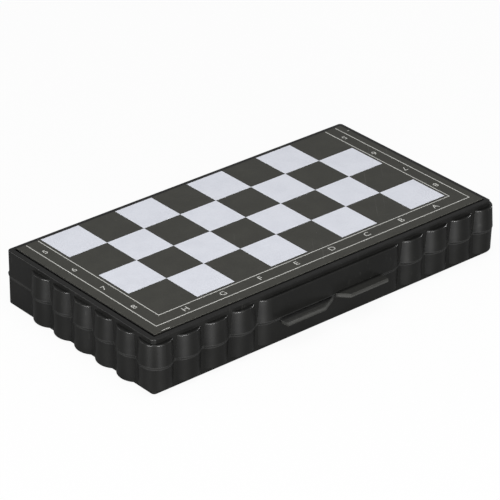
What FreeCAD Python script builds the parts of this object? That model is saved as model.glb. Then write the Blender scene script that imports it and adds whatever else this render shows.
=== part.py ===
import FreeCAD
import Part
import math
import os

# Folding magnetic travel chess set, shut: two scalloped half shells hinged at the back, each with half
# a printed board on its outside and a set of sixteen chessmen held in ribs on its inside.
# Millimetres. Origin at the centre of the underside, X along the hinge, -Y at the front, +Z up.
# Each half is drawn as the lower one; the upper one is turned half round about the Y axis. The flutes
# stop at a ledge next to the rim, but those on the ends of the lower half run on almost to the rim.
# The lower half's walls are set back a little under the upper half's, which leaves a dark line at the seam.

# Printed sheet and the steel plate under it, left and right on the half as drawn
square = 20.0
files = 8
ranks_on_half = 4
left_margin = 12.2
right_margin = 11.2
front_margin = 12.6
back_margin = 0.3
sheet_thickness = 0.25
plate_thickness = 0.5
plate_inset = 0.2

# Rim round the sheet
moat_left = 0.2
moat_right = 1.2
moat_front = 0.95
moat_back = 0.25
moat_depth = 1.2
rim_side = 2.3
rim_front = 2.3
rim_back = 2.25
sheet_proud = 0.3
rim_corner = 1.8
crest_round = 0.5

# Walls and their flutes
wall = 1.8
floor_thickness = 1.5
ledge_drop = 2.0
lower_end_ledge_drop = 0.4
flute_bulge = 3.0
lower_flute_draft = 0.25
upper_flute_draft = 0.65
lower_set_back = 0.3
upper_set_back = 0.0
flutes_on_side = 5
flutes_beside_panel = 3
groove = 0.4
back_flat = 16.8
column_leg = 11.2
column_bulge = 2.6
column_round = 7.1
panel_width = 80.4
panel_bulge = 2.4
ledge_round = 0.5
seam_round = 0.55

# Thumb tabs: spans along X on the panel and at the outer edge, both on the half as drawn
tab_reach = 5.4
tab_thickness = 1.0
tab_lip = 1.0
tab_lip_rise = 0.83
tab_edge_bevel = 0.25
tab_below_seam = 0.41
tab_sink = 0.6
tab_tip_reach = 1.1
lower_tab_edge = (-29.6, -8.9)
lower_tab_tip = -0.8
upper_tab_edge = (-26.4, -5.4)
upper_tab_tip = -0.8

# Aligning lip inside the front wall, beside the other half's one
lip_thickness = 0.9
lip_height = 1.2
lip_depth = 3.0
lip_clearance = 0.2
lip_from_middle = 4.0
lip_from_end = 6.6

# Hinge
knuckle_radius = 1.7
knuckle_width = 8.0
knuckle_gap = 0.3
knuckle_room = 0.3
hinge_inset = 68.4
hinge_behind = 0.15
pin_radius = 0.75
pin_clearance = 0.05
pin_end_inset = 0.3

# Chessmen, lying along Y
officer_base = 5.0
pawn_base = 4.5
base_band = 1.6
base_height = 3.0
base_shoulder = 3.7
base_swell = 0.15
stem_foot = 3.4
stem_neck = 2.3
officer_neck_height = 11.5
pawn_stem_foot = 3.0
pawn_stem_neck = 2.0
pawn_neck_height = 8.4
pawn_head = 2.8
collar_overhang = 1.0
collar_height = 0.9
rook_height = 17.0
rook_top = 3.6
rook_well = 2.3
rook_notch = 1.3
rook_notch_depth = 1.4
knight_head_height = 8.2
knight_head_width = 7.0
knight_head_thickness = 4.2
knight_chamfer = 0.5
bishop_height = 20.0
bishop_bulge = 3.1
bishop_bulge_height = 14.9
bishop_slot = 0.7
bishop_slot_angle = 55
bishop_slot_height = 15.7
bead = 0.9
bead_neck = 0.45
queen_height = 21.6
queen_top = 3.7
queen_waist = 2.66
queen_dome = 1.85
queen_dome_rise = 0.63
queen_points = 8
queen_nick = 0.72
crown_waist_height = 16.1
king_crown_height = 20.0
king_top = 3.5
king_waist = 2.45
king_dome = 2.8
king_dome_drop = 0.18
cross_height = 4.0
cross_width = 3.2
cross_bar = 1.1
cross_arm_rise = 1.8
magnet_radius = 2.8
magnet_thickness = 2.0
magnet_clearance = 0.05
magnet_recess = 0.2

# Cradle ribs
man_floor_gap = 0.2
seam_room = 0.64
row_gap = 1.5
rib_thickness = 1.2
rib_base_gap = 0.4
rib_neck_gap = 0.5
notch_clearance = 0.15
notch_grip = 0.4
rib_end_gap = 0.6

sheet_width = files * square + left_margin + right_margin
sheet_depth = ranks_on_half * square + front_margin + back_margin
case_width = sheet_width + moat_left + moat_right + 2 * rim_side
case_depth = sheet_depth + moat_front + rim_front + moat_back + rim_back
half_width = case_width / 2
front_y = -case_depth / 2
back_y = case_depth / 2
sheet_left_x = -half_width + rim_side + moat_left
sheet_right_x = sheet_left_x + sheet_width
sheet_front_y = front_y + rim_front + moat_front
sheet_back_y = sheet_front_y + sheet_depth
seat_z = sheet_thickness + plate_thickness
floor_z = seat_z + floor_thickness
seam_z = floor_z + man_floor_gap + 2 * officer_base + seam_room
lower_foot = (sheet_proud + ledge_drop, lower_flute_draft, lower_set_back)
lower_end_foot = (sheet_proud + lower_end_ledge_drop, lower_flute_draft, lower_set_back)
upper_foot = (sheet_proud + ledge_drop, upper_flute_draft, upper_set_back)
inner_x = half_width - wall
inner_front_y = front_y + wall
inner_back_y = back_y - wall
hinge_y = back_y + hinge_behind
man_pitch = square
rows = ("rook", "knight", "bishop", "queen", "king", "bishop", "knight", "rook")
far = 2 * case_width
up = FreeCAD.Vector(0, 0, 1)
along_x = FreeCAD.Vector(1, 0, 0)
along_y = FreeCAD.Vector(0, 1, 0)


def point(x, y, z):
    return FreeCAD.Vector(x, y, z)


def block(low, high):
    size = [top - bottom for bottom, top in zip(low, high)]
    return Part.makeBox(size[0], size[1], size[2], point(low[0], low[1], low[2]))


def turned_over(shape):
    # The upper half's place: half a turn about the Y axis at the seam
    turned = shape.copy()
    turned.rotate(point(0, 0, seam_z), along_y, 180)
    return turned


def flute_radius(half_chord, bulge):
    return (half_chord ** 2 + bulge ** 2) / (2 * bulge)


def flute(x, y, radius, inset, foot):
    # A drafted round about an upright axis, widest at the seam; an inset one hollows the wall
    ledge_z, draft, set_back = foot
    radius = radius - set_back
    if inset:
        bottom = ledge_z + inset
        return Part.makeCone(radius - draft - inset, radius - inset, seam_z - bottom, point(x, y, bottom))
    cone = Part.makeCone(radius - draft, radius, seam_z - ledge_z, point(x, y, ledge_z))
    cone = cone.makeFillet(ledge_round, [min(cone.Edges, key=lambda edge: edge.BoundBox.ZMax)])
    return cone.makeFillet(seam_round, [max(cone.Edges, key=lambda edge: edge.BoundBox.ZMin)])


def side_flutes(inset, foot):
    # The row on each end of the case, between the back flat and the front column
    pitch = (case_depth - back_flat - column_leg) / flutes_on_side
    radius = flute_radius((pitch - groove) / 2, flute_bulge)
    centre_x = half_width + flute_bulge - radius
    forms = []
    for number in range(flutes_on_side):
        y = front_y + column_leg + (number + 0.5) * pitch
        forms.append(flute(centre_x, y, radius, inset, foot))
        forms.append(flute(-centre_x, y, radius, inset, foot))
    return forms


def front_flutes(inset, foot):
    # Three on each side of the plain panel
    pitch = (half_width - column_leg - panel_width / 2) / flutes_beside_panel
    radius = flute_radius((pitch - groove) / 2, flute_bulge)
    centre_y = front_y - flute_bulge + radius
    forms = []
    for number in range(flutes_beside_panel):
        x = panel_width / 2 + (number + 0.5) * pitch
        forms.append(flute(x, centre_y, radius, inset, foot))
        forms.append(flute(-x, centre_y, radius, inset, foot))
    return forms


def corner_column(side, inset, foot):
    # Two half flutes that run into a round corner, which stands out less at the end than at the front
    corner_x = half_width + column_bulge - column_round
    corner_y = front_y - flute_bulge + column_round
    end_radius = flute_radius(column_leg - groove / 2 - column_round + flute_bulge, column_bulge)
    front_radius = flute_radius(column_leg - groove / 2 - column_round + column_bulge, flute_bulge)
    bottom = 0
    top = 2 * seam_z
    end_arm = flute(half_width + column_bulge - end_radius, corner_y, end_radius, inset, foot)
    end_arm = end_arm.common(block((corner_x, corner_y, bottom), (far, corner_y + far, top)))
    front_arm = flute(corner_x, front_y - flute_bulge + front_radius, front_radius, inset, foot)
    front_arm = front_arm.common(block((corner_x - far, -far, bottom), (corner_x, corner_y, top)))
    corner = flute(corner_x, corner_y, column_round, inset, foot)
    corner = corner.common(block((corner_x, -far, bottom), (far, corner_y, top)))
    column = corner.fuse([end_arm, front_arm])
    if side < 0:
        column = column.mirror(point(0, 0, 0), along_x)
    return column


def face_edges(slab):
    # The long edges of a slab's outer face
    return [edge for edge in slab.Edges if edge.BoundBox.XLength > wall and edge.BoundBox.YMax < front_y]


def front_panel(inset, foot):
    # The plain stretch that carries the thumb tab, with a half flute at each end
    pitch = (half_width - column_leg - panel_width / 2) / flutes_beside_panel
    radius = flute_radius((pitch - groove) / 2, flute_bulge)
    half_chord = math.sqrt(2 * radius * panel_bulge - panel_bulge ** 2)
    end_x = panel_width / 2 - groove / 2 - half_chord
    end_y = front_y - panel_bulge + radius
    ledge_z, draft, set_back = foot
    bottom = ledge_z + inset
    face_at_seam = front_y - panel_bulge + set_back + inset
    face_at_ledge = face_at_seam + draft
    outline = Part.makePolygon([
        point(-end_x, end_y, bottom),
        point(-end_x, face_at_ledge, bottom),
        point(-end_x, face_at_seam, seam_z),
        point(-end_x, end_y, seam_z),
        point(-end_x, end_y, bottom),
    ])
    slab = Part.Face(outline).extrude(point(2 * end_x, 0, 0))
    if not inset:
        slab = slab.makeFillet(ledge_round, [min(face_edges(slab), key=lambda edge: edge.BoundBox.ZMax)])
        slab = slab.makeFillet(seam_round, [max(face_edges(slab), key=lambda edge: edge.BoundBox.ZMin)])
    right_end = flute(end_x, end_y, radius, inset, foot)
    right_end = right_end.common(block((end_x, -far, 0), (end_x + far, end_y, 2 * seam_z)))
    left_end = right_end.mirror(point(0, 0, 0), along_x)
    return slab.fuse([right_end, left_end])


def wall_forms(inset, foot, end_foot):
    forms = side_flutes(inset, end_foot)
    forms += front_flutes(inset, foot)
    forms.append(corner_column(1, inset, foot))
    forms.append(corner_column(-1, inset, foot))
    forms.append(front_panel(inset, foot))
    return forms


def case_body():
    # The straight box under the rim, with its crest rounded
    box = block((-half_width, front_y, sheet_proud), (half_width, back_y, seam_z))
    upright = [edge for edge in box.Edges if edge.BoundBox.ZLength > seam_z / 2]
    box = box.makeFillet(rim_corner, upright)
    crest = [edge for edge in box.Edges if edge.BoundBox.ZMax < sheet_proud + crest_round / 2]
    return box.makeFillet(crest_round, crest)


def sheet_recess():
    # The plate's seat, with a deeper moat along its front and one end
    moat_floor = sheet_proud + moat_depth
    recess = block(
        (-half_width + rim_side, front_y + rim_front, 0),
        (half_width - rim_side, back_y - rim_back, moat_floor),
    )
    seat = block(
        (-half_width + rim_side, sheet_front_y, seat_z),
        (sheet_right_x, back_y - rim_back, moat_floor),
    )
    return recess.cut(seat)


def cavity(foot, end_foot):
    inside = block((-inner_x, inner_front_y, floor_z), (inner_x, inner_back_y, 2 * seam_z))
    return inside.fuse(wall_forms(wall, foot, end_foot))


def tab_section(x, reach):
    # The tab across its length: a plate sunk in the panel, with a lip at its outer edge
    root_y = front_y - panel_bulge + tab_sink
    edge_y = front_y - panel_bulge - reach
    top = seam_z - tab_below_seam
    bottom = top - tab_thickness
    lip_y = edge_y + min(tab_lip, reach / 2)
    return Part.makePolygon([
        point(x, root_y, bottom),
        point(x, edge_y + tab_edge_bevel, bottom),
        point(x, edge_y, bottom + tab_edge_bevel),
        point(x, edge_y, top + tab_lip_rise - tab_edge_bevel),
        point(x, edge_y + tab_edge_bevel, top + tab_lip_rise),
        point(x, lip_y, top + tab_lip_rise),
        point(x, lip_y, top),
        point(x, root_y, top),
        point(x, root_y, bottom),
    ])


def thumb_tab(edge_span, tip_x):
    full = Part.makeLoft([
        tab_section(edge_span[0], tab_reach),
        tab_section(edge_span[1], tab_reach),
    ], True, True)
    taper = Part.makeLoft([
        tab_section(edge_span[1], tab_reach),
        tab_section(tip_x, tab_tip_reach),
    ], True, True)
    return full.fuse(taper)


def aligning_lip():
    # A low lip that stands across the seam, on the left half of the front panel, clear of either half's wall
    wall_y = front_y - panel_bulge + wall + max(lower_set_back, upper_set_back)
    end_x = -panel_width / 2 + lip_from_end
    below = block(
        (end_x, wall_y - wall / 2, seam_z - lip_depth),
        (-lip_from_middle, wall_y + lip_clearance + lip_thickness, seam_z),
    )
    above = block(
        (end_x, wall_y + lip_clearance, seam_z),
        (-lip_from_middle, wall_y + lip_clearance + lip_thickness, seam_z + lip_height),
    )
    return below.fuse(above)


def knuckle_spans():
    # Two on the left and one on the right; the other half's ones, turned over, come between
    step = knuckle_width + knuckle_gap
    starts = (-hinge_inset - 2 * step - knuckle_width, -hinge_inset - knuckle_width, hinge_inset + step)
    return [(start, start + knuckle_width) for start in starts]


def knuckle(span):
    barrel = Part.makeCylinder(
        knuckle_radius, span[1] - span[0], point(span[0], hinge_y, seam_z), along_x
    )
    web = block(
        (span[0], hinge_y - knuckle_radius, seam_z - 2 * knuckle_radius),
        (span[1], hinge_y, seam_z),
    )
    return barrel.fuse(web)


def knuckle_clearance(span):
    # Room for the other half's knuckle
    room = knuckle_gap / 2
    radius = knuckle_radius + knuckle_room
    return Part.makeCylinder(
        radius, span[1] - span[0] + 2 * room, point(span[0] - room, hinge_y, seam_z), along_x
    )


def hinge_bores():
    radius = pin_radius + pin_clearance
    return Part.makeCylinder(radius, 2 * far, point(-far, hinge_y, seam_z), along_x)


def stem_radius(foot, neck, neck_height, height):
    share = (height - base_height) / (neck_height - base_height)
    return foot + (neck - foot) * share


def cradle_rib(y_low, axis_z, radius):
    # A rib across the half, with a notch for every man in its row
    top = axis_z + notch_grip * radius
    rib = block(
        (-inner_x + rib_end_gap, y_low, floor_z - floor_thickness / 2),
        (inner_x - rib_end_gap, y_low + rib_thickness, top),
    )
    for x in row_places():
        hole = Part.makeCylinder(radius, 3 * rib_thickness, point(x, y_low - rib_thickness, axis_z), along_y)
        rib = rib.cut(hole)
    return rib


def row_places():
    return [(number - (files - 1) / 2) * man_pitch for number in range(files)]


def officer_axis():
    return floor_z + man_floor_gap + officer_base


def pawn_axis():
    return floor_z + man_floor_gap + pawn_base


def cradle_ribs():
    ribs = []
    base_rib = base_height + rib_base_gap
    officer_foot_y = inner_front_y + row_gap
    pawn_foot_y = inner_back_y - row_gap
    neck_rib = officer_neck_height - rib_neck_gap - rib_thickness
    for height in (base_rib, neck_rib):
        radius = stem_radius(stem_foot, stem_neck, officer_neck_height, height) + notch_clearance
        ribs.append(cradle_rib(officer_foot_y + height, officer_axis(), radius))
    neck_rib = pawn_neck_height - rib_neck_gap - rib_thickness
    for height in (base_rib, neck_rib):
        radius = stem_radius(pawn_stem_foot, pawn_stem_neck, pawn_neck_height, height) + notch_clearance
        ribs.append(cradle_rib(pawn_foot_y - height - rib_thickness, pawn_axis(), radius))
    return ribs


def half_shell(foot, end_foot, tab_edge, tab_tip):
    shell = case_body().fuse(wall_forms(0, foot, end_foot))
    shell = shell.cut(cavity(foot, end_foot))
    shell = shell.cut(sheet_recess())
    own = knuckle_spans()
    for start, end in own:
        shell = shell.cut(knuckle_clearance((-end, -start)))
    additions = [knuckle(span) for span in own]
    additions += cradle_ribs()
    additions.append(thumb_tab(tab_edge, tab_tip))
    additions.append(aligning_lip())
    shell = shell.fuse(additions)
    shell = shell.cut(hinge_bores())
    return shell.removeSplitter()


def board_sheet():
    return block(
        (sheet_left_x, sheet_front_y, 0),
        (sheet_right_x, sheet_back_y, sheet_thickness),
    )


def steel_plate():
    return block(
        (sheet_left_x + plate_inset, sheet_front_y + plate_inset, sheet_thickness),
        (sheet_right_x - plate_inset, sheet_back_y - plate_inset, seat_z),
    )


def hinge_pin(side):
    group = 3 * knuckle_width + 2 * knuckle_gap
    start = hinge_inset + pin_end_inset
    length = group - 2 * pin_end_inset
    if side < 0:
        start = -start - length
    return Part.makeCylinder(pin_radius, length, point(start, hinge_y, seam_z), along_x)


def lathe(profile):
    # Turns a profile of (radius, height) steps; a step of four numbers is an arc through its first pair
    edges = []
    here = point(profile[0][0], 0, profile[0][1])
    start = here
    for step in profile[1:]:
        there = point(step[-2], 0, step[-1])
        if len(step) == 4:
            edges.append(Part.Arc(here, point(step[0], 0, step[1]), there).toShape())
        else:
            edges.append(Part.LineSegment(here, there).toShape())
        here = there
    edges.append(Part.LineSegment(here, start).toShape())
    return Part.Face(Part.Wire(edges)).revolve(point(0, 0, 0), up, 360)


def foot_profile(base, foot, neck, neck_height):
    # Base, stem and collar, the same for every man of a row
    collar = neck + collar_overhang
    collar_top = neck_height + collar_height
    shoulder = min(base_shoulder, base - (base_height - base_band) / 2)
    swell_radius = (base + shoulder) / 2 + base_swell
    swell_height = (base_band + base_height) / 2 + base_swell
    return [
        (0, 0),
        (base, 0),
        (base, base_band),
        (swell_radius, swell_height, shoulder, base_height),
        (foot, base_height),
        (neck, neck_height),
        (collar, neck_height + collar_height / 3),
        (collar, collar_top - collar_height / 3),
        (neck, collar_top),
    ]


def magnet_pocket():
    return Part.makeCylinder(magnet_radius + magnet_clearance, magnet_recess + magnet_thickness)


def magnet():
    return Part.makeCylinder(magnet_radius, magnet_thickness, point(0, 0, magnet_recess))


def officer_foot():
    return foot_profile(officer_base, stem_foot, stem_neck, officer_neck_height)


def head_start():
    return officer_neck_height + collar_height


def pawn():
    profile = foot_profile(pawn_base, pawn_stem_foot, pawn_stem_neck, pawn_neck_height)
    seat = profile[-1][1]
    centre = seat + math.sqrt(pawn_head ** 2 - pawn_stem_neck ** 2)
    profile.append((pawn_head, centre, 0, centre + pawn_head))
    return lathe(profile)


def rook():
    start = head_start()
    profile = officer_foot()
    profile += [
        (rook_top, start + (rook_top - stem_neck)),
        (rook_top, rook_height),
        (rook_well, rook_height),
        (rook_well, rook_height - rook_notch_depth),
        (0, rook_height - rook_notch_depth),
    ]
    body = lathe(profile)
    half_notch = rook_notch / 2
    for angle in (0, 90):
        cut = block(
            (-officer_base, -half_notch, rook_height - rook_notch_depth),
            (officer_base, half_notch, rook_height + rook_notch),
        )
        cut.rotate(point(0, 0, 0), up, angle + 45)
        body = body.cut(cut)
    return body


def knight():
    # A horse's head cut from a slab, on the common foot
    start = head_start()
    foot = lathe(officer_foot() + [(0, start)])
    width = knight_head_width
    height = knight_head_height
    low = start - collar_height / 2
    places = {
        "chest": point(-0.36 * width, 0, low),
        "throat": point(-0.20 * width, 0, start + 0.34 * height),
        "jaw": point(-0.30 * width, 0, start + 0.40 * height),
        "chin": point(-0.56 * width, 0, start + 0.34 * height),
        "nose": point(-0.60 * width, 0, start + 0.54 * height),
        "brow": point(-0.20 * width, 0, start + 0.88 * height),
        "ear": point(-0.04 * width, 0, start + height),
        "poll": point(0.10 * width, 0, start + 0.86 * height),
        "mane": point(0.42 * width, 0, start + 0.46 * height),
        "nape": point(0.36 * width, 0, low),
    }
    edges = [
        Part.LineSegment(places["chest"], places["throat"]).toShape(),
        Part.LineSegment(places["throat"], places["jaw"]).toShape(),
        Part.LineSegment(places["jaw"], places["chin"]).toShape(),
        Part.LineSegment(places["chin"], places["nose"]).toShape(),
        Part.LineSegment(places["nose"], places["brow"]).toShape(),
        Part.LineSegment(places["brow"], places["ear"]).toShape(),
        Part.LineSegment(places["ear"], places["poll"]).toShape(),
        Part.Arc(places["poll"], places["mane"], places["nape"]).toShape(),
        Part.LineSegment(places["nape"], places["chest"]).toShape(),
    ]
    head = Part.Face(Part.Wire(edges)).extrude(point(0, knight_head_thickness, 0))
    head.translate(point(0, -knight_head_thickness / 2, 0))
    flanks = [edge for edge in head.Edges if edge.BoundBox.YLength < knight_head_thickness / 2]
    rims = [edge for edge in flanks if edge.BoundBox.ZMax > start + knight_chamfer]
    head = head.makeChamfer(knight_chamfer, rims)
    return foot.fuse(head)


def bead_seat(top):
    # Where the bead that ends at this height meets its neck
    return top - bead - math.sqrt(bead ** 2 - bead_neck ** 2)


def bishop():
    profile = officer_foot()
    profile += [
        (bishop_bulge, bishop_bulge_height, bead_neck, bead_seat(bishop_height)),
        (bead, bishop_height - bead, 0, bishop_height),
    ]
    body = lathe(profile)
    slot = block((0, -officer_base, 0), (officer_base, officer_base, bishop_slot))
    slot.rotate(point(0, 0, 0), along_y, -bishop_slot_angle)
    slot.translate(point(bishop_slot, 0, bishop_slot_height))
    return body.cut(slot)


def queen():
    seat = bead_seat(queen_height)
    rim = seat - bead
    profile = officer_foot()
    profile += [
        (queen_waist, crown_waist_height, queen_top, rim),
        (queen_top - bead, rim),
        (queen_dome, rim + queen_dome_rise, bead_neck, seat),
        (bead, queen_height - bead, 0, queen_height),
    ]
    body = lathe(profile)
    for number in range(queen_points):
        angle = 2 * math.pi * number / queen_points
        outward = point(math.cos(angle), math.sin(angle), 0)
        start = outward * (queen_top - bead) + up * (rim + queen_nick / 4)
        body = body.cut(Part.makeCylinder(queen_nick, 2 * bead, start, outward))
    return body


def king():
    rim = king_crown_height - bead
    profile = officer_foot()
    profile += [
        (king_waist, crown_waist_height, king_top, rim),
        (king_dome, king_crown_height - king_dome_drop, cross_bar, king_crown_height),
        (0, king_crown_height),
    ]
    body = lathe(profile)
    half_bar = cross_bar / 2
    sunk = king_crown_height - bead / 2
    post = block((-half_bar, -half_bar, sunk), (half_bar, half_bar, king_crown_height + cross_height))
    arm_low = king_crown_height + cross_arm_rise
    arms = block(
        (-cross_width / 2, -half_bar, arm_low),
        (cross_width / 2, half_bar, arm_low + cross_bar),
    )
    return body.fuse([post, arms])


def laid(shape, x, foot_y, axis_z, towards):
    # Lays a standing man down along Y, its head towards the middle of the half
    man = shape.copy()
    man.rotate(point(0, 0, 0), along_x, -90 * towards)
    man.translate(point(x, foot_y, axis_z))
    return man


def chess_set():
    # Every man of one half, by name, and the magnets in their bases
    makers = {"rook": rook, "knight": knight, "bishop": bishop, "queen": queen, "king": king}
    shapes = {name: maker().cut(magnet_pocket()) for name, maker in makers.items()}
    pawn_shape = pawn().cut(magnet_pocket())
    men = {}
    magnets = []
    for number, (kind, x) in enumerate(zip(rows, row_places())):
        name = kind
        if rows.count(kind) > 1:
            name = "%s_%d" % (kind, 1 + rows[:number].count(kind))
        foot_y = inner_front_y + row_gap
        men[name] = laid(shapes[kind], x, foot_y, officer_axis(), 1)
        magnets.append(laid(magnet(), x, foot_y, officer_axis(), 1))
    for number, x in enumerate(row_places()):
        foot_y = inner_back_y - row_gap
        men["pawn_%d" % (number + 1)] = laid(pawn_shape, x, foot_y, pawn_axis(), -1)
        magnets.append(laid(magnet(), x, foot_y, pawn_axis(), -1))
    return men, Part.makeCompound(magnets)


def build():
    men, magnets = chess_set()
    nodes = {
        "lower_shell": half_shell(lower_foot, lower_end_foot, lower_tab_edge, lower_tab_tip),
        "upper_shell": turned_over(half_shell(upper_foot, upper_foot, upper_tab_edge, upper_tab_tip)),
        "lower_board_sheet": board_sheet(),
        "upper_board_sheet": turned_over(board_sheet()),
        "lower_steel_plate": steel_plate(),
        "upper_steel_plate": turned_over(steel_plate()),
        "hinge_pin_left": hinge_pin(-1),
        "hinge_pin_right": hinge_pin(1),
        "white_magnets": magnets,
        "black_magnets": turned_over(magnets),
    }
    for name, man in men.items():
        nodes["white_" + name] = man
        nodes["black_" + name] = turned_over(man)
    return nodes


os.makedirs("parts", exist_ok=True)
for node, shape in build().items():
    print(node, "valid" if shape.isValid() else "NOT VALID", len(shape.Solids), round(shape.Volume, 1))
    shape.exportStep("parts/%s.step" % node)
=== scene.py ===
import math
import bmesh
import bpy
from mathutils import Matrix, Vector


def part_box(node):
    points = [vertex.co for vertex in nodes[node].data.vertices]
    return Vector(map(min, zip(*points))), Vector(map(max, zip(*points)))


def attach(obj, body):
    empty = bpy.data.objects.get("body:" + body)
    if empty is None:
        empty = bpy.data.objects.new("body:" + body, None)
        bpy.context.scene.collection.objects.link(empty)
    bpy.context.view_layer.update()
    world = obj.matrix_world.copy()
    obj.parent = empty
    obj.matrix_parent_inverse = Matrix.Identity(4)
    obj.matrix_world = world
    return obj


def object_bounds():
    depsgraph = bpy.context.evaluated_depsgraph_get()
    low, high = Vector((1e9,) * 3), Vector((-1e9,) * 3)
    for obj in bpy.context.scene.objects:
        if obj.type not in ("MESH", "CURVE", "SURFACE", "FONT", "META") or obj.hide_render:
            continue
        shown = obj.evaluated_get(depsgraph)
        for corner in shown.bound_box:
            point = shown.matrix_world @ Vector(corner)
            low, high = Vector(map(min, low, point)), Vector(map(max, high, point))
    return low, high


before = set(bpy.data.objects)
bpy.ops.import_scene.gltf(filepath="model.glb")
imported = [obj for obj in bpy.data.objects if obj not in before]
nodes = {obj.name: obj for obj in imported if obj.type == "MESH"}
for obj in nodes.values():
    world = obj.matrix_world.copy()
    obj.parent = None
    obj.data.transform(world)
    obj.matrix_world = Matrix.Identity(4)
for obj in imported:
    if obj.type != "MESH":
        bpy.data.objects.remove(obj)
cadLow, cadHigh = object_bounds()
mm = 0.001
print("frame loaded:", len(nodes), "nodes")

# The half boards share their sheet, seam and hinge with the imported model
sheetLow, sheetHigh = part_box("upper_board_sheet")
pinLow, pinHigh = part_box("hinge_pin_left")
hingeY = (pinLow.y + pinHigh.y) / 2
seamZ = (pinLow.z + pinHigh.z) / 2


# Node helpers
def addNode(tree, kind, settings=None, inputs=None):
    node = tree.nodes.new(kind)
    for name, value in (settings or {}).items():
        setattr(node, name, value)
    for name, value in (inputs or {}).items():
        node.inputs[name].default_value = value
    return node


def newGroup(name, kind, inputs, outputs):
    group = bpy.data.node_groups.new(name, kind)
    for socketName, socketType, value in inputs:
        socket = group.interface.new_socket(socketName, in_out="INPUT", socket_type=socketType)
        if value is not None:
            socket.default_value = value
    for socketName, socketType in outputs:
        group.interface.new_socket(socketName, in_out="OUTPUT", socket_type=socketType)
    return group, group.nodes.new("NodeGroupInput"), group.nodes.new("NodeGroupOutput")


def calculate(tree, operation, first, second=None, clamp=False):
    node = addNode(tree, "ShaderNodeMath", {"operation": operation, "use_clamp": clamp})
    for socket, value in zip(node.inputs, (first, second)):
        if isinstance(value, bpy.types.NodeSocket):
            tree.links.new(value, socket)
        elif value is not None:
            socket.default_value = value
    return node.outputs[0]


def ramp(tree, value, low, high):
    # 0 below low, 1 above high
    node = addNode(tree, "ShaderNodeMapRange", {"interpolation_type": "SMOOTHSTEP"})
    node.inputs["From Min"].default_value = low
    node.inputs["From Max"].default_value = high
    tree.links.new(value, node.inputs["Value"])
    return node.outputs["Result"]


def noise(tree, vector, scale, detail=2.0, roughness=0.5):
    node = addNode(tree, "ShaderNodeTexNoise", inputs={"Detail": detail, "Roughness": roughness})
    tree.links.new(vector, node.inputs["Vector"])
    if isinstance(scale, bpy.types.NodeSocket):
        tree.links.new(scale, node.inputs["Scale"])
    else:
        node.inputs["Scale"].default_value = scale
    return node.outputs["Fac"]


def axisOf(tree, vector, axis):
    node = addNode(tree, "ShaderNodeSeparateXYZ")
    tree.links.new(vector, node.inputs["Vector"])
    return node.outputs[axis]


def stretched(tree, vector, scale):
    node = addNode(tree, "ShaderNodeMapping", inputs={"Scale": scale})
    tree.links.new(vector, node.inputs["Vector"])
    return node.outputs["Vector"]


# A Mix node's sockets for colours share their names with others, so they go by number
mixSockets = {"first": 6, "second": 7, "result": 2}


def mixColour(tree, share, first, second):
    node = addNode(tree, "ShaderNodeMix", {"data_type": "RGBA"})
    tree.links.new(share, node.inputs["Factor"])
    for place, value in (("first", first), ("second", second)):
        socket = node.inputs[mixSockets[place]]
        if isinstance(value, bpy.types.NodeSocket):
            tree.links.new(value, socket)
        else:
            socket.default_value = (*value, 1)
    return node.outputs[mixSockets["result"]]


# Shared effects: moulded grain, rubbed edges (on the black case also a painted highlight), specks of dust
# and fine handling scratches
grainEffect = {
    "grainScale": 2600.0,
    "grainDetail": 3.0,
    "cloudScale": 60.0,
    "cloudDetail": 4.0,
    "roughness": 0.6,
}


def mouldGrainGroup():
    group, source, result = newGroup(
        "mouldGrain",
        "ShaderNodeTree",
        [
            ("Vector", "NodeSocketVector", None),
            ("Grain Scale", "NodeSocketFloat", grainEffect["grainScale"]),
            ("Cloud Scale", "NodeSocketFloat", grainEffect["cloudScale"]),
        ],
        [("Height", "NodeSocketFloat"), ("Cloud", "NodeSocketFloat")],
    )
    place = source.outputs["Vector"]
    roughness = grainEffect["roughness"]
    grain = noise(group, place, source.outputs["Grain Scale"], grainEffect["grainDetail"], roughness)
    cloud = noise(group, place, source.outputs["Cloud Scale"], grainEffect["cloudDetail"], roughness)
    group.links.new(grain, result.inputs["Height"])
    group.links.new(cloud, result.inputs["Cloud"])
    return group


edgeWearAndHighlightEffect = {
    "radius": 0.4 * mm,
    "samples": 6,
    "bend": (0.02, 0.22),  # turn of the rounded normal, from an edge's first trace to its full mark
    "patchScale": 240.0,
    "patchDetail": 4.0,
    "patchRoughness": 0.65,
    "patches": (0.38, 0.68),
}


# Mask of rounded edges, in patches: edge wear, and on the black case a painted highlight along the edges
def edgeWearAndHighlightGroup():
    group, source, result = newGroup(
        "edgeWearAndHighlight",
        "ShaderNodeTree",
        [
            ("Vector", "NodeSocketVector", None),
            ("Radius", "NodeSocketFloat", edgeWearAndHighlightEffect["radius"]),
            ("Amount", "NodeSocketFloat", 1.0),
        ],
        [("Mask", "NodeSocketFloat")],
    )
    rounded = addNode(group, "ShaderNodeBevel", {"samples": edgeWearAndHighlightEffect["samples"]})
    group.links.new(source.outputs["Radius"], rounded.inputs["Radius"])
    surface = addNode(group, "ShaderNodeNewGeometry")
    agreement = addNode(group, "ShaderNodeVectorMath", {"operation": "DOT_PRODUCT"})
    group.links.new(rounded.outputs["Normal"], agreement.inputs[0])
    group.links.new(surface.outputs["Normal"], agreement.inputs[1])
    edge = ramp(group, calculate(group, "SUBTRACT", 1.0, agreement.outputs["Value"]), *edgeWearAndHighlightEffect["bend"])
    cloud = noise(
        group,
        source.outputs["Vector"],
        edgeWearAndHighlightEffect["patchScale"],
        edgeWearAndHighlightEffect["patchDetail"],
        edgeWearAndHighlightEffect["patchRoughness"],
    )
    wornAndHighlighted = calculate(group, "MULTIPLY", edge, ramp(group, cloud, *edgeWearAndHighlightEffect["patches"]))
    group.links.new(calculate(group, "MULTIPLY", wornAndHighlighted, source.outputs["Amount"]), result.inputs["Mask"])
    return group


dustEffect = {"scale": 420.0, "speck": (0.03, 0.12), "areaScale": 90.0, "areas": (0.60, 0.70)}


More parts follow.
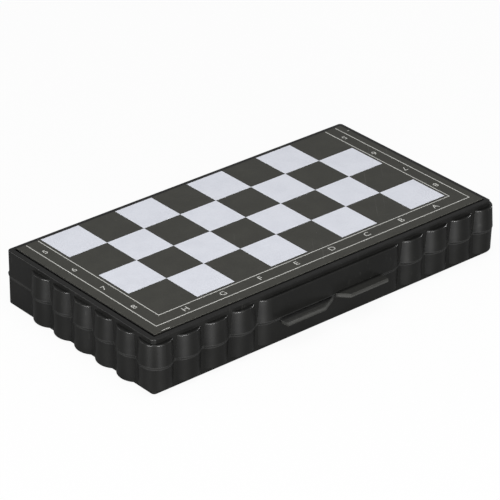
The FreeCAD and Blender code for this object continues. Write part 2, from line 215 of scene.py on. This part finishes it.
def dustGroup():
    group, source, result = newGroup(
        "dustSpecks",
        "ShaderNodeTree",
        [
            ("Vector", "NodeSocketVector", None),
            ("Scale", "NodeSocketFloat", dustEffect["scale"]),
            ("Amount", "NodeSocketFloat", 1.0),
        ],
        [("Mask", "NodeSocketFloat")],
    )
    cells = addNode(group, "ShaderNodeTexVoronoi", {"feature": "F1"})
    group.links.new(source.outputs["Vector"], cells.inputs["Vector"])
    group.links.new(source.outputs["Scale"], cells.inputs["Scale"])
    near = calculate(group, "SUBTRACT", 1.0, ramp(group, cells.outputs["Distance"], *dustEffect["speck"]))
    cloud = noise(group, source.outputs["Vector"], dustEffect["areaScale"])
    chosen = ramp(group, cloud, *dustEffect["areas"])
    specks = calculate(group, "MULTIPLY", near, chosen)
    group.links.new(calculate(group, "MULTIPLY", specks, source.outputs["Amount"]), result.inputs["Mask"])
    return group


scratchEffect = {
    "strokes": (  # turn in radians, and scale along X, Y and Z
        (0.5, (30.0, 1900.0, 200.0)),
        (-0.9, (24.0, 1500.0, 200.0)),
    ),
    "line": (0.70, 0.78),
    "areaScale": 28.0,
    "areas": (0.48, 0.66),
}


def scratchGroup():
    group, source, result = newGroup(
        "handlingScratches",
        "ShaderNodeTree",
        [("Vector", "NodeSocketVector", None), ("Amount", "NodeSocketFloat", 1.0)],
        [("Mask", "NodeSocketFloat")],
    )
    marks = None
    for turn, stretch in scratchEffect["strokes"]:
        turned = addNode(group, "ShaderNodeVectorRotate", {"rotation_type": "Z_AXIS"}, {"Angle": turn})
        group.links.new(source.outputs["Vector"], turned.inputs["Vector"])
        streak = noise(group, stretched(group, turned.outputs["Vector"], stretch), scale=1.0, detail=1.0)
        line = ramp(group, streak, *scratchEffect["line"])
        marks = line if marks is None else calculate(group, "MAXIMUM", marks, line)
    cloud = noise(group, source.outputs["Vector"], scratchEffect["areaScale"])
    shown = calculate(group, "MULTIPLY", marks, ramp(group, cloud, *scratchEffect["areas"]))
    group.links.new(calculate(group, "MULTIPLY", shown, source.outputs["Amount"]), result.inputs["Mask"])
    return group


mouldGrain = mouldGrainGroup()
edgeWearAndHighlight = edgeWearAndHighlightGroup()
dustSpecks = dustGroup()
handlingScratches = scratchGroup()


def useGroup(tree, group, vector, inputs):
    node = addNode(tree, "ShaderNodeGroup", {"node_tree": group}, inputs)
    tree.links.new(vector, node.inputs["Vector"])
    return node.outputs


def newMaterial(name):
    material = bpy.data.materials.new(name)
    material.use_nodes = True
    tree = material.node_tree
    place = addNode(tree, "ShaderNodeTexCoord").outputs["Object"]
    return material, tree, tree.nodes["Principled BSDF"], place


def bump(tree, shader, height, distance):
    node = addNode(tree, "ShaderNodeBump", inputs={"Distance": distance, "Strength": 1.0})
    tree.links.new(height, node.inputs["Height"])
    tree.links.new(node.outputs["Normal"], shader.inputs["Normal"])


# Moulded plastic, for the case and the chessmen
casePlastic = {
    "colour": (0.0050, 0.0050, 0.0046),
    # The edge colour below is partly edge wear and partly a painted highlight: the light lines that
    # rounded edges catch are painted in as a lighter colour
    "rubbedAndHighlight": (0.13, 0.13, 0.12),
    "dust": (0.16, 0.15, 0.13),
    "roughness": 0.33,
    "roughnessSpread": 0.06,
    "specular": 0.45,
    "grainScale": 2400.0,
    "grainDepth": 0.006 * mm,
    "wearAndHighlightAmount": 0.10,
    "dustAmount": 0.12,
    "scratchAmount": 0.2,
    # The thumb tabs are painted lighter, and their edges get a painted highlight outline
    "thumbFrom": -cadLow.y - 4.6 * mm,  # the tabs start this far in front of the middle
    "thumbBlend": 1.2 * mm,
    "tabLightAmount": 0.16,
    "tabEdgeHighlight": 1.0,
    "seamReach": 0.8 * mm,  # the rims are duller this near to the seam
    "seamDull": 0.55,
}
ivoryPlastic = {
    "colour": (0.74, 0.69, 0.56),
    "rubbedAndHighlight": (0.80, 0.76, 0.66),
    "dust": (0.42, 0.38, 0.30),
    "roughness": 0.32,
    "roughnessSpread": 0.08,
    "specular": 0.5,
    "grainScale": 1800.0,
    "grainDepth": 0.004 * mm,
    "wearAndHighlightAmount": 0.5,
    "dustAmount": 0.15,
    "scratchAmount": 0.3,
}
jetPlastic = {
    "colour": (0.012, 0.011, 0.011),
    "rubbedAndHighlight": (0.045, 0.043, 0.040),
    "dust": (0.14, 0.13, 0.12),
    "roughness": 0.26,
    "roughnessSpread": 0.08,
    "specular": 0.5,
    "grainScale": 1800.0,
    "grainDepth": 0.004 * mm,
    "wearAndHighlightAmount": 0.5,
    "dustAmount": 0.2,
    "scratchAmount": 0.3,
}
mouldEffect = {
    "deepShade": 0.8,       # the darkest patches, as a share of the colour
    "patches": (0.3, 0.7),
    "scratchShow": 0.4,
    "cloudMiddle": 0.5,
    "swing": 2.0,           # the cloud reaches half a unit either way, so this makes it a whole spread
    "dustDull": 0.3,
}


def paintedTabLight(tree, place, look):
    # Painted light on what stands out in front of the case, which is the thumb tabs: they are painted
    # lighter, as they catch more light than the case behind them
    out = calculate(tree, "MULTIPLY", axisOf(tree, place, "Y"), -1.0)
    tabs = ramp(tree, out, look["thumbFrom"], look["thumbFrom"] + look["thumbBlend"])
    return calculate(tree, "MULTIPLY", tabs, look["tabLightAmount"])


def seamGrime(tree, place, look):
    # 1 at the seam, 0 away from it
    away = calculate(tree, "ABSOLUTE", calculate(tree, "SUBTRACT", axisOf(tree, place, "Z"), seamZ))
    return calculate(tree, "SUBTRACT", 1.0, ramp(tree, away, look["seamReach"] / 2, look["seamReach"]))


def mouldedPlastic(name, look):
    material, tree, shader, place = newMaterial(name)
    grain = useGroup(tree, mouldGrain, place, {"Grain Scale": look["grainScale"]})
    wearAndHighlight = useGroup(tree, edgeWearAndHighlight, place, {"Amount": look["wearAndHighlightAmount"]})["Mask"]
    # Painted light: the thumb tabs lighter all over, with painted highlight outlines along their edges
    if "tabLightAmount" in look:
        tabLight = paintedTabLight(tree, place, look)
        edges = useGroup(tree, edgeWearAndHighlight, place, {"Amount": look["tabEdgeHighlight"]})["Mask"]
        edges = calculate(tree, "MULTIPLY", edges, calculate(tree, "GREATER_THAN", tabLight, 0.0))
        wearAndHighlight = calculate(tree, "MAXIMUM", wearAndHighlight, calculate(tree, "MAXIMUM", tabLight, edges))
    dust = useGroup(tree, dustSpecks, place, {"Amount": look["dustAmount"]})["Mask"]
    scratch = useGroup(tree, handlingScratches, place, {"Amount": look["scratchAmount"]})["Mask"]
    deep = tuple(channel * mouldEffect["deepShade"] for channel in look["colour"])
    mottled = mixColour(tree, ramp(tree, grain["Cloud"], *mouldEffect["patches"]), deep, look["colour"])
    shown = calculate(tree, "MULTIPLY", scratch, mouldEffect["scratchShow"])
    # Edges and scratches lightened: wear, and on the black case also a painted highlight along the edges
    wornAndHighlighted = mixColour(tree, calculate(tree, "MAXIMUM", wearAndHighlight, shown), mottled, look["rubbedAndHighlight"])
    tree.links.new(mixColour(tree, dust, wornAndHighlighted, look["dust"]), shader.inputs["Base Color"])
    spread = calculate(tree, "SUBTRACT", grain["Cloud"], mouldEffect["cloudMiddle"])
    spread = calculate(tree, "MULTIPLY", spread, look["roughnessSpread"])
    spread = calculate(tree, "MULTIPLY", spread, mouldEffect["swing"])
    rough = calculate(tree, "ADD", look["roughness"], spread)
    dull = calculate(tree, "MULTIPLY", dust, mouldEffect["dustDull"])
    rough = calculate(tree, "ADD", rough, dull, clamp=True)
    if "seamDull" in look:
        grime = calculate(tree, "MULTIPLY", seamGrime(tree, place, look), look["seamDull"])
        rough = calculate(tree, "ADD", rough, grime, clamp=True)
    tree.links.new(rough, shader.inputs["Roughness"])
    shader.inputs["Specular IOR Level"].default_value = look["specular"]
    bump(tree, shader, grain["Height"], look["grainDepth"])
    return material


# Printed sheet: dark satin film, white squares and pale marks
boardFilm = {
    "colour": (0.0445, 0.0440, 0.0380),
    "faded": (0.0575, 0.0570, 0.0490),
    "roughness": 0.42,
    "specular": 0.25,
    "peelScale": 900.0,
    "peelDepth": 0.006 * mm,
}
whiteInk = {
    "colour": (0.80, 0.82, 0.89),
    "faded": (0.73, 0.75, 0.82),
    "roughness": 0.44,
    "specular": 0.3,
    "peelScale": 900.0,
    "peelDepth": 0.006 * mm,
}
paleInk = {
    "colour": (0.62, 0.62, 0.59),
    "faded": (0.50, 0.50, 0.47),
    "roughness": 0.46,
    "specular": 0.3,
    "peelScale": 900.0,
    "peelDepth": 0.004 * mm,
}
filmEffect = {
    "cloudScale": 120.0,
    "cloud": (0.35, 0.75),
    "cloudShare": 0.6,      # of the fading
    "speckleScale": 1500.0,
    "speckle": (0.35, 0.70),
    "speckleShare": 0.4,
    "scratchAmount": 0.5,
    "scratchShow": 0.35,
    "scratchPolish": 0.08,  # off the roughness
    "scratched": (0.30, 0.30, 0.29),
    "dustAmount": 0.25,
    "dust": (0.40, 0.39, 0.36),
    "roughnessDrop": 0.05,  # where the cloud is 0
    "roughnessRise": 0.1,   # from there to where it is 1
}


def printedFilm(name, look):
    material, tree, shader, place = newMaterial(name)
    scales = {"Grain Scale": look["peelScale"], "Cloud Scale": filmEffect["cloudScale"]}
    grain = useGroup(tree, mouldGrain, place, scales)
    dust = useGroup(tree, dustSpecks, place, {"Amount": filmEffect["dustAmount"]})["Mask"]
    scratch = useGroup(tree, handlingScratches, place, {"Amount": filmEffect["scratchAmount"]})["Mask"]
    speckle = ramp(tree, noise(tree, place, filmEffect["speckleScale"]), *filmEffect["speckle"])
    speckled = calculate(tree, "MULTIPLY", speckle, filmEffect["speckleShare"])
    cloud = ramp(tree, grain["Cloud"], *filmEffect["cloud"])
    cloudy = calculate(tree, "MULTIPLY", cloud, filmEffect["cloudShare"])
    fade = calculate(tree, "ADD", speckled, cloudy, clamp=True)
    printed = mixColour(tree, fade, look["colour"], look["faded"])
    shown = calculate(tree, "MULTIPLY", scratch, filmEffect["scratchShow"])
    marked = mixColour(tree, shown, printed, filmEffect["scratched"])
    tree.links.new(mixColour(tree, dust, marked, filmEffect["dust"]), shader.inputs["Base Color"])
    rise = calculate(tree, "MULTIPLY", grain["Cloud"], filmEffect["roughnessRise"])
    rough = calculate(tree, "ADD", look["roughness"] - filmEffect["roughnessDrop"], rise)
    polish = calculate(tree, "MULTIPLY", scratch, filmEffect["scratchPolish"])
    tree.links.new(calculate(tree, "SUBTRACT", rough, polish), shader.inputs["Roughness"])
    shader.inputs["Specular IOR Level"].default_value = look["specular"]
    bump(tree, shader, grain["Height"], look["peelDepth"])
    return material


# Metals and the magnets
tinnedSteel = {
    "colour": (0.56, 0.56, 0.55),
    "dull": (0.40, 0.40, 0.39),
    "roughness": 0.34,
    "metal": 1.0,
    "stretch": (60.0, 2400.0, 600.0),
    "depth": 0.004 * mm,
}
pinSteel = {
    "colour": (0.50, 0.50, 0.49),
    "dull": (0.30, 0.29, 0.28),
    "roughness": 0.28,
    "metal": 1.0,
    "stretch": (2600.0, 200.0, 200.0),
    "depth": 0.005 * mm,
}
ferrite = {
    "colour": (0.050, 0.049, 0.050),
    "dull": (0.030, 0.030, 0.030),
    "roughness": 0.55,
    "metal": 0.0,
    "stretch": (1800.0, 1800.0, 1800.0),
    "depth": 0.02 * mm,
}
metalEffect = {
    "streakDetail": 3.0,
    "streakRoughness": 0.6,
    "tone": (0.3, 0.7),
    "wearAndHighlightAmount": 0.6,
    "rubbedGain": 1.3,      # rubbed edges are brighter than the colour
    "roughnessDrop": 0.06,  # where the streak is 0
    "roughnessRise": 0.14,  # from there to where it is 1
}


def drawnMetal(name, look):
    material, tree, shader, place = newMaterial(name)
    drawn = stretched(tree, place, look["stretch"])
    streak = noise(tree, drawn, 1.0, metalEffect["streakDetail"], metalEffect["streakRoughness"])
    wearAndHighlight = useGroup(tree, edgeWearAndHighlight, place, {"Amount": metalEffect["wearAndHighlightAmount"]})["Mask"]
    toned = mixColour(tree, ramp(tree, streak, *metalEffect["tone"]), look["colour"], look["dull"])
    bright = tuple(channel * metalEffect["rubbedGain"] for channel in look["colour"])
    tree.links.new(mixColour(tree, wearAndHighlight, toned, bright), shader.inputs["Base Color"])
    rise = calculate(tree, "MULTIPLY", streak, metalEffect["roughnessRise"])
    rough = calculate(tree, "ADD", look["roughness"] - metalEffect["roughnessDrop"], rise)
    tree.links.new(rough, shader.inputs["Roughness"])
    shader.inputs["Metallic"].default_value = look["metal"]
    bump(tree, shader, streak, look["depth"])
    return material


plasticBlack = mouldedPlastic("plasticBlack", casePlastic)
plasticIvory = mouldedPlastic("plasticIvory", ivoryPlastic)
plasticJet = mouldedPlastic("plasticJet", jetPlastic)
filmDark = printedFilm("filmDark", boardFilm)
inkWhite = printedFilm("inkWhite", whiteInk)
inkPale = printedFilm("inkPale", paleInk)
steelTinned = drawnMetal("steelTinned", tinnedSteel)
steelPin = drawnMetal("steelPin", pinSteel)
magnetFerrite = drawnMetal("magnetFerrite", ferrite)


def finishOf(node):
    if node.endswith("_shell"):
        return plasticBlack
    if node.endswith("_board_sheet"):
        return filmDark
    if node.endswith("_steel_plate"):
        return steelTinned
    if node.startswith("hinge_pin"):
        return steelPin
    if node.endswith("_magnets"):
        return magnetFerrite
    return plasticIvory if node.startswith("white_") else plasticJet


for name, node in nodes.items():
    node.material_slots[0].material = finishOf(name)
print("finishes on the packed nodes")


# The print, laid out with the case open flat and both boards up: the upper half in front, the lower behind
boardPrint = {
    "square": 20.0 * mm,
    "files": 8,
    "ranks": 4,
    "shift": 1.2 * mm,         # to the right on the sheet
    "frontMargin": 12.6 * mm,  # sheet's front edge to the first row
    "ink": 0.02 * mm,          # thickness of a print layer
    "innerLine": (1.6 * mm, 1.4 * mm),  # out from the squares, at left and front, and at right
    "outerLine": (7.9 * mm, 7.4 * mm),
    "lineWidth": 0.42 * mm,
    "lineEnd": 0.4 * mm,       # short of the back of the squares
    "letters": "HGFEDCBA",
    "letterSize": 4.1 * mm,
    "letterWidth": 1.12,
    "letterOut": 4.7 * mm,     # from the squares to the middle of a letter
    "digitOut": (5.1 * mm, 4.2 * mm),  # the same for a digit, at left and at right
    "curveSteps": 6,           # per curved stretch of a character
    "weld": 0.001 * mm,
}
firstX = -boardPrint["files"] * boardPrint["square"] / 2 + boardPrint["shift"]
lastX = firstX + boardPrint["files"] * boardPrint["square"]
firstY = sheetLow.y + boardPrint["frontMargin"]
lastY = firstY + boardPrint["ranks"] * boardPrint["square"]
hinge = Vector((0, hingeY, seamZ))
foldOver = Matrix.Translation(hinge) @ Matrix.Rotation(math.pi, 4, "X") @ Matrix.Translation(-hinge)
halves = {
    "upper": {"body": "upper_half", "ranks": "8765", "turn": 0.0, "place": Matrix.Identity(4)},
    "lower": {"body": "lower_half", "ranks": "1234", "turn": math.pi, "place": foldOver},
}
faceZ = sheetHigh.z


def flatY(half, y):
    # Where a spot at this depth on the upper half has its match on the given half, with the case open flat
    return y if half == "upper" else 2 * hingeY - y


def settle(mesh, half, name, material):
    # Puts a mesh that is drawn on the open board where it is on the shut case
    mesh.transform(halves[half]["place"])
    if material.name not in mesh.materials:
        mesh.materials.append(material)
    piece = bpy.data.objects.new(name, mesh)
    bpy.context.scene.collection.objects.link(piece)
    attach(piece, halves[half]["body"])


# White squares, by rule: every second point of a grid carries a square
def checkerTree():
    tree, source, result = newGroup(
        "checkerSquares",
        "GeometryNodeTree",
        [
            ("Square", "NodeSocketFloat", boardPrint["square"]),
            ("Ink", "NodeSocketFloat", boardPrint["ink"]),
            ("Files", "NodeSocketInt", boardPrint["files"]),
            ("Ranks", "NodeSocketInt", boardPrint["ranks"]),
            ("Middle", "NodeSocketVector", None),
            ("Material", "NodeSocketMaterial", None),
        ],
        [("Geometry", "NodeSocketGeometry")],
    )
    inputs = source.outputs

    def span(count):
        return calculate(tree, "MULTIPLY", calculate(tree, "SUBTRACT", count, 1.0), inputs["Square"])

    grid = addNode(tree, "GeometryNodeMeshGrid")
    tree.links.new(span(inputs["Files"]), grid.inputs["Size X"])
    tree.links.new(span(inputs["Ranks"]), grid.inputs["Size Y"])
    tree.links.new(inputs["Files"], grid.inputs["Vertices X"])
    tree.links.new(inputs["Ranks"], grid.inputs["Vertices Y"])
    number = addNode(tree, "GeometryNodeInputIndex").outputs[0]
    file = calculate(tree, "FLOOR", calculate(tree, "DIVIDE", number, inputs["Ranks"]))
    rank = calculate(tree, "FLOORED_MODULO", number, inputs["Ranks"])
    steps = calculate(tree, "ADD", file, rank)
    white = calculate(tree, "GREATER_THAN", calculate(tree, "FLOORED_MODULO", steps, 2.0), 0.5)
    cube = addNode(tree, "GeometryNodeMeshCube")
    size = addNode(tree, "ShaderNodeCombineXYZ")
    tree.links.new(inputs["Square"], size.inputs["X"])
    tree.links.new(inputs["Square"], size.inputs["Y"])
    tree.links.new(inputs["Ink"], size.inputs["Z"])
    tree.links.new(size.outputs[0], cube.inputs["Size"])
    copies = addNode(tree, "GeometryNodeInstanceOnPoints")
    tree.links.new(grid.outputs["Mesh"], copies.inputs["Points"])
    tree.links.new(white, copies.inputs["Selection"])
    tree.links.new(cube.outputs["Mesh"], copies.inputs["Instance"])
    moved = addNode(tree, "GeometryNodeTransform")
    tree.links.new(copies.outputs["Instances"], moved.inputs["Geometry"])
    tree.links.new(inputs["Middle"], moved.inputs["Translation"])
    plain = addNode(tree, "GeometryNodeRealizeInstances")
    tree.links.new(moved.outputs["Geometry"], plain.inputs["Geometry"])
    inked = addNode(tree, "GeometryNodeSetMaterial")
    tree.links.new(plain.outputs["Geometry"], inked.inputs["Geometry"])
    tree.links.new(inputs["Material"], inked.inputs["Material"])
    tree.links.new(inked.outputs["Geometry"], result.inputs["Geometry"])
    return tree


def grownMesh(name, tree, values):
    # Runs a geometry tree on an empty mesh and keeps its result as a plain mesh
    holder = bpy.data.objects.new(name + "Holder", bpy.data.meshes.new(name + "Holder"))
    bpy.context.scene.collection.objects.link(holder)
    modifier = holder.modifiers.new("grow", "NODES")
    modifier.node_group = tree
    for socket in tree.interface.items_tree:
        if socket.in_out == "INPUT" and socket.name in values:
            modifier[socket.identifier] = values[socket.name]
    depsgraph = bpy.context.evaluated_depsgraph_get()
    mesh = bpy.data.meshes.new_from_object(holder.evaluated_get(depsgraph))
    mesh.name = name
    holder.modifiers.remove(modifier)
    bpy.data.objects.remove(holder)
    return mesh


checkerSquares = checkerTree()
for half in halves:
    middleY = flatY(half, (firstY + lastY) / 2)
    squares = grownMesh(half + "_white_squares", checkerSquares, {
        "Square": boardPrint["square"],
        "Ink": boardPrint["ink"],
        "Files": boardPrint["files"],
        "Ranks": boardPrint["ranks"],
        "Middle": ((firstX + lastX) / 2, middleY, faceZ + boardPrint["ink"] / 2),
        "Material": inkWhite,
    })
    settle(squares, half, half + "_white_squares", inkWhite)
print("white squares printed")


# Frame lines and edge marks: flat strokes with mitred corners
def strokeInto(shape, points, width, bottom, top):
    sides = []
    for number, here in enumerate(points):
        before = (here - points[number - 1]).normalized() if number else None
        after = (points[number + 1] - here).normalized() if number + 1 < len(points) else None
        directions = [way for way in (before, after) if way]
        along = sum(directions, Vector((0, 0))).normalized()
        across = Vector((-along.y, along.x))
        reach = width / 2 / across.dot(Vector((-directions[0].y, directions[0].x)))
        sides.append((here + across * reach, here - across * reach))
    rings = []
    for left, right in sides:
        corners = ((left, bottom), (right, bottom), (right, top), (left, top))
        rings.append([shape.verts.new((spot.x, spot.y, z)) for spot, z in corners])
    for first, second in zip(rings, rings[1:]):
        for number in range(len(first)):
            following = (number + 1) % len(first)
            shape.faces.new((first[number], first[following], second[following], second[number]))
    shape.faces.new(rings[0][::-1])
    shape.faces.new(rings[-1])


edgeMarks = {
    "frontMark": (4.0 * mm, 8.2 * mm),  # both ends, from the left corner along the sheet's front edge
    "frontInset": 0.55 * mm,
    "sideMark": (1.3 * mm, 6.2 * mm),   # length in from the right edge, and distance from the back edge
    "width": 0.28 * mm,
}


def frameLines(half):
    shape = bmesh.new()
    bottom = faceZ
    top = faceZ + boardPrint["ink"]
    for leftOut, rightOut in (boardPrint["innerLine"], boardPrint["outerLine"]):
        left = firstX - leftOut
        right = lastX + rightOut
        front = flatY(half, firstY - leftOut)
        back = flatY(half, lastY - boardPrint["lineEnd"])
        corners = [Vector(spot) for spot in ((left, back), (left, front), (right, front), (right, back))]
        strokeInto(shape, corners, boardPrint["lineWidth"], bottom, top)
    if half == "upper":
        y = sheetLow.y + edgeMarks["frontInset"]
        ends = [Vector((sheetLow.x + out, y)) for out in edgeMarks["frontMark"]]
        strokeInto(shape, ends, edgeMarks["width"], bottom, top)
        length, fromBack = edgeMarks["sideMark"]
        y = sheetHigh.y - fromBack
        ends = [Vector((x, y)) for x in (sheetHigh.x - length, sheetHigh.x)]
        strokeInto(shape, ends, edgeMarks["width"], bottom, top)
    bmesh.ops.recalc_face_normals(shape, faces=shape.faces)
    mesh = bpy.data.meshes.new(half + "_frame_lines")
    shape.to_mesh(mesh)
    shape.free()
    return mesh


for half in halves:
    settle(frameLines(half), half, half + "_frame_lines", inkPale)
print("frame lines drawn")


# Letters along the outer edge, digits up both sides
def characterMesh(text, x, y, turn):
    curve = bpy.data.curves.new("character", "FONT")
    curve.body = text
    curve.size = boardPrint["letterSize"]
    curve.align_x = "CENTER"
    curve.align_y = "CENTER"
    curve.extrude = boardPrint["ink"] / 2
    curve.resolution_u = boardPrint["curveSteps"]
    holder = bpy.data.objects.new("character", curve)
    bpy.context.scene.collection.objects.link(holder)
    depsgraph = bpy.context.evaluated_depsgraph_get()
    mesh = bpy.data.meshes.new_from_object(holder.evaluated_get(depsgraph))
    bpy.data.objects.remove(holder)
    widen = Matrix.Diagonal((boardPrint["letterWidth"], 1, 1, 1))
    lift = Matrix.Translation((x, y, faceZ + boardPrint["ink"] / 2))
    mesh.transform(lift @ Matrix.Rotation(turn, 4, "Z") @ widen)
    return mesh


def characters(half):
    side = halves[half]
    step = boardPrint["square"]
    shape = bmesh.new()
    meshes = []
    letterY = flatY(half, firstY - boardPrint["letterOut"])
    for number, letter in enumerate(boardPrint["letters"]):
        x = firstX + (number + 0.5) * step
        meshes.append(characterMesh(letter, x, letterY, side["turn"]))
    leftOut, rightOut = boardPrint["digitOut"]
    for number, digit in enumerate(side["ranks"]):
        y = flatY(half, firstY + (number + 0.5) * step)
        meshes.append(characterMesh(digit, firstX - leftOut, y, 0.0))
        meshes.append(characterMesh(digit, lastX + rightOut, y, math.pi))
    for mesh in meshes:
        shape.from_mesh(mesh)
        bpy.data.meshes.remove(mesh)
    bmesh.ops.remove_doubles(shape, verts=shape.verts, dist=boardPrint["weld"])
    joined = bpy.data.meshes.new(half + "_coordinates")
    shape.to_mesh(joined)
    shape.free()
    return joined


for half in halves:
    settle(characters(half), half, half + "_coordinates", inkPale)
print("coordinates printed")


# Stage: white to the camera, dim to the object, with a large soft lamp overhead and four low ones around
studio = {
    "white": (1, 1, 1, 1),
    "floorColour": (0.16, 0.16, 0.16),  # what the object is lit by
    "floorSize": 3.0,                   # from the middle to an edge
    "floorDrop": 0.1 * mm,
    "paperWhite": (0.90, 0.90, 0.90),
    "floorWhite": 0.93,  # how far the white paper is lifted to plain white; the rest keeps the shadow
    "surround": 0.26,
    "mirrored": 0.05,    # how white floor and surround are in reflections, which are deep in the photo
    "lampAim": (0, 0, 0.02),
}
lamps = {
    "key": {"place": (-0.10, -0.15, 1.00), "size": (0.80, 0.80), "power": 5.75},
    "front": {"place": (-0.26, -0.96, 0.08), "size": (0.30, 0.12), "power": 13.0},
    "left": {"place": (-0.97, -0.21, 0.08), "size": (0.30, 0.12), "power": 10.0},
    "right": {"place": (0.98, -0.16, 0.05), "size": (0.25, 0.08), "power": 3.0},
    "back": {"place": (-0.70, 0.66, 0.25), "size": (0.20, 0.20), "power": 0.8},
}


def shownToCamera(tree, lit, shown):
    # The camera sees shown, reflections a little of it, and all other light meets lit
    path = addNode(tree, "ShaderNodeLightPath").outputs
    mirrored = calculate(tree, "MAXIMUM", path["Is Glossy Ray"], path["Is Transmission Ray"])
    mirrored = calculate(tree, "MULTIPLY", mirrored, studio["mirrored"])
    mixed = addNode(tree, "ShaderNodeMixShader")
    tree.links.new(calculate(tree, "MAXIMUM", path["Is Camera Ray"], mirrored), mixed.inputs[0])
    tree.links.new(lit.outputs[0], mixed.inputs[1])
    tree.links.new(shown.outputs[0], mixed.inputs[2])
    return mixed.outputs[0]


def floorMaterial():
    material = bpy.data.materials.new("floorWhite")
    material.use_nodes = True
    tree = material.node_tree
    tree.nodes.clear()
    dim = addNode(tree, "ShaderNodeBsdfDiffuse", inputs={"Color": (*studio["floorColour"], 1)})
    paper = addNode(tree, "ShaderNodeBsdfDiffuse", inputs={"Color": (*studio["paperWhite"], 1)})
    plain = addNode(tree, "ShaderNodeEmission", inputs={"Color": studio["white"], "Strength": 1.0})
    shown = addNode(tree, "ShaderNodeMixShader", inputs={"Fac": studio["floorWhite"]})
    tree.links.new(paper.outputs[0], shown.inputs[1])
    tree.links.new(plain.outputs[0], shown.inputs[2])
    result = addNode(tree, "ShaderNodeOutputMaterial")
    tree.links.new(shownToCamera(tree, dim, shown), result.inputs["Surface"])
    return material


def whiteFloor():
    shape = bmesh.new()
    bmesh.ops.create_grid(shape, x_segments=1, y_segments=1, size=studio["floorSize"])
    mesh = bpy.data.meshes.new("floor")
    shape.to_mesh(mesh)
    shape.free()
    mesh.transform(Matrix.Translation((0, 0, cadLow.z - studio["floorDrop"])))
    mesh.materials.append(floorMaterial())
    floor = bpy.data.objects.new("floor", mesh)
    bpy.context.scene.collection.objects.link(floor)


def surround():
    world = bpy.data.worlds.new("surround")
    world.use_nodes = True
    tree = world.node_tree
    tree.nodes.clear()
    white = studio["white"]
    lit = addNode(tree, "ShaderNodeBackground", inputs={"Color": white, "Strength": studio["surround"]})
    shown = addNode(tree, "ShaderNodeBackground", inputs={"Color": white, "Strength": 1.0})
    result = addNode(tree, "ShaderNodeOutputWorld")
    tree.links.new(shownToCamera(tree, lit, shown), result.inputs["Surface"])
    bpy.context.scene.world = world


def softbox(name, look):
    lamp = bpy.data.lights.new(name, "AREA")
    lamp.shape = "RECTANGLE"
    lamp.size, lamp.size_y = look["size"]
    lamp.energy = look["power"]
    holder = bpy.data.objects.new(name, lamp)
    place = Vector(look["place"])
    turn = (Vector(studio["lampAim"]) - place).to_track_quat("-Z", "Y").to_matrix().to_4x4()
    holder.matrix_world = Matrix.Translation(place) @ turn
    bpy.context.scene.collection.objects.link(holder)


whiteFloor()
surround()
for name, look in lamps.items():
    softbox(name + "Softbox", look)
print("stage lit")


# Camera, at the photo's angle for a square picture: angles in degrees, lens and sensor in millimetres
viewpoint = {
    "aim": (-1.046 * mm, 0.860 * mm, 13.28 * mm),
    "azimuth": -40.672,
    "elevation": 28.775,
    "roll": 0.527,
    "distance": 1.24175,
    "lens": 207.4,
    "sensor": 36.0,
    "clip": (0.05, 20.0),
}


def photoCamera():
    azimuth = math.radians(viewpoint["azimuth"])
    elevation = math.radians(viewpoint["elevation"])
    back = Vector((
        math.sin(azimuth) * math.cos(elevation),
        -math.cos(azimuth) * math.cos(elevation),
        math.sin(elevation),
    ))
    lens = bpy.data.cameras.new("photoCamera")
    lens.lens = viewpoint["lens"]
    lens.sensor_width = viewpoint["sensor"]
    lens.sensor_fit = "HORIZONTAL"
    lens.clip_start, lens.clip_end = viewpoint["clip"]
    holder = bpy.data.objects.new("photoCamera", lens)
    turn = (-back).to_track_quat("-Z", "Y").to_matrix().to_4x4()
    roll = Matrix.Rotation(math.radians(viewpoint["roll"]), 4, "Z")
    place = Matrix.Translation(Vector(viewpoint["aim"]) + back * viewpoint["distance"])
    holder.matrix_world = place @ turn @ roll
    bpy.context.scene.collection.objects.link(holder)
    bpy.context.scene.camera = holder


photoCamera()
bpy.context.scene.view_settings.view_transform = "Standard"
print("camera set")
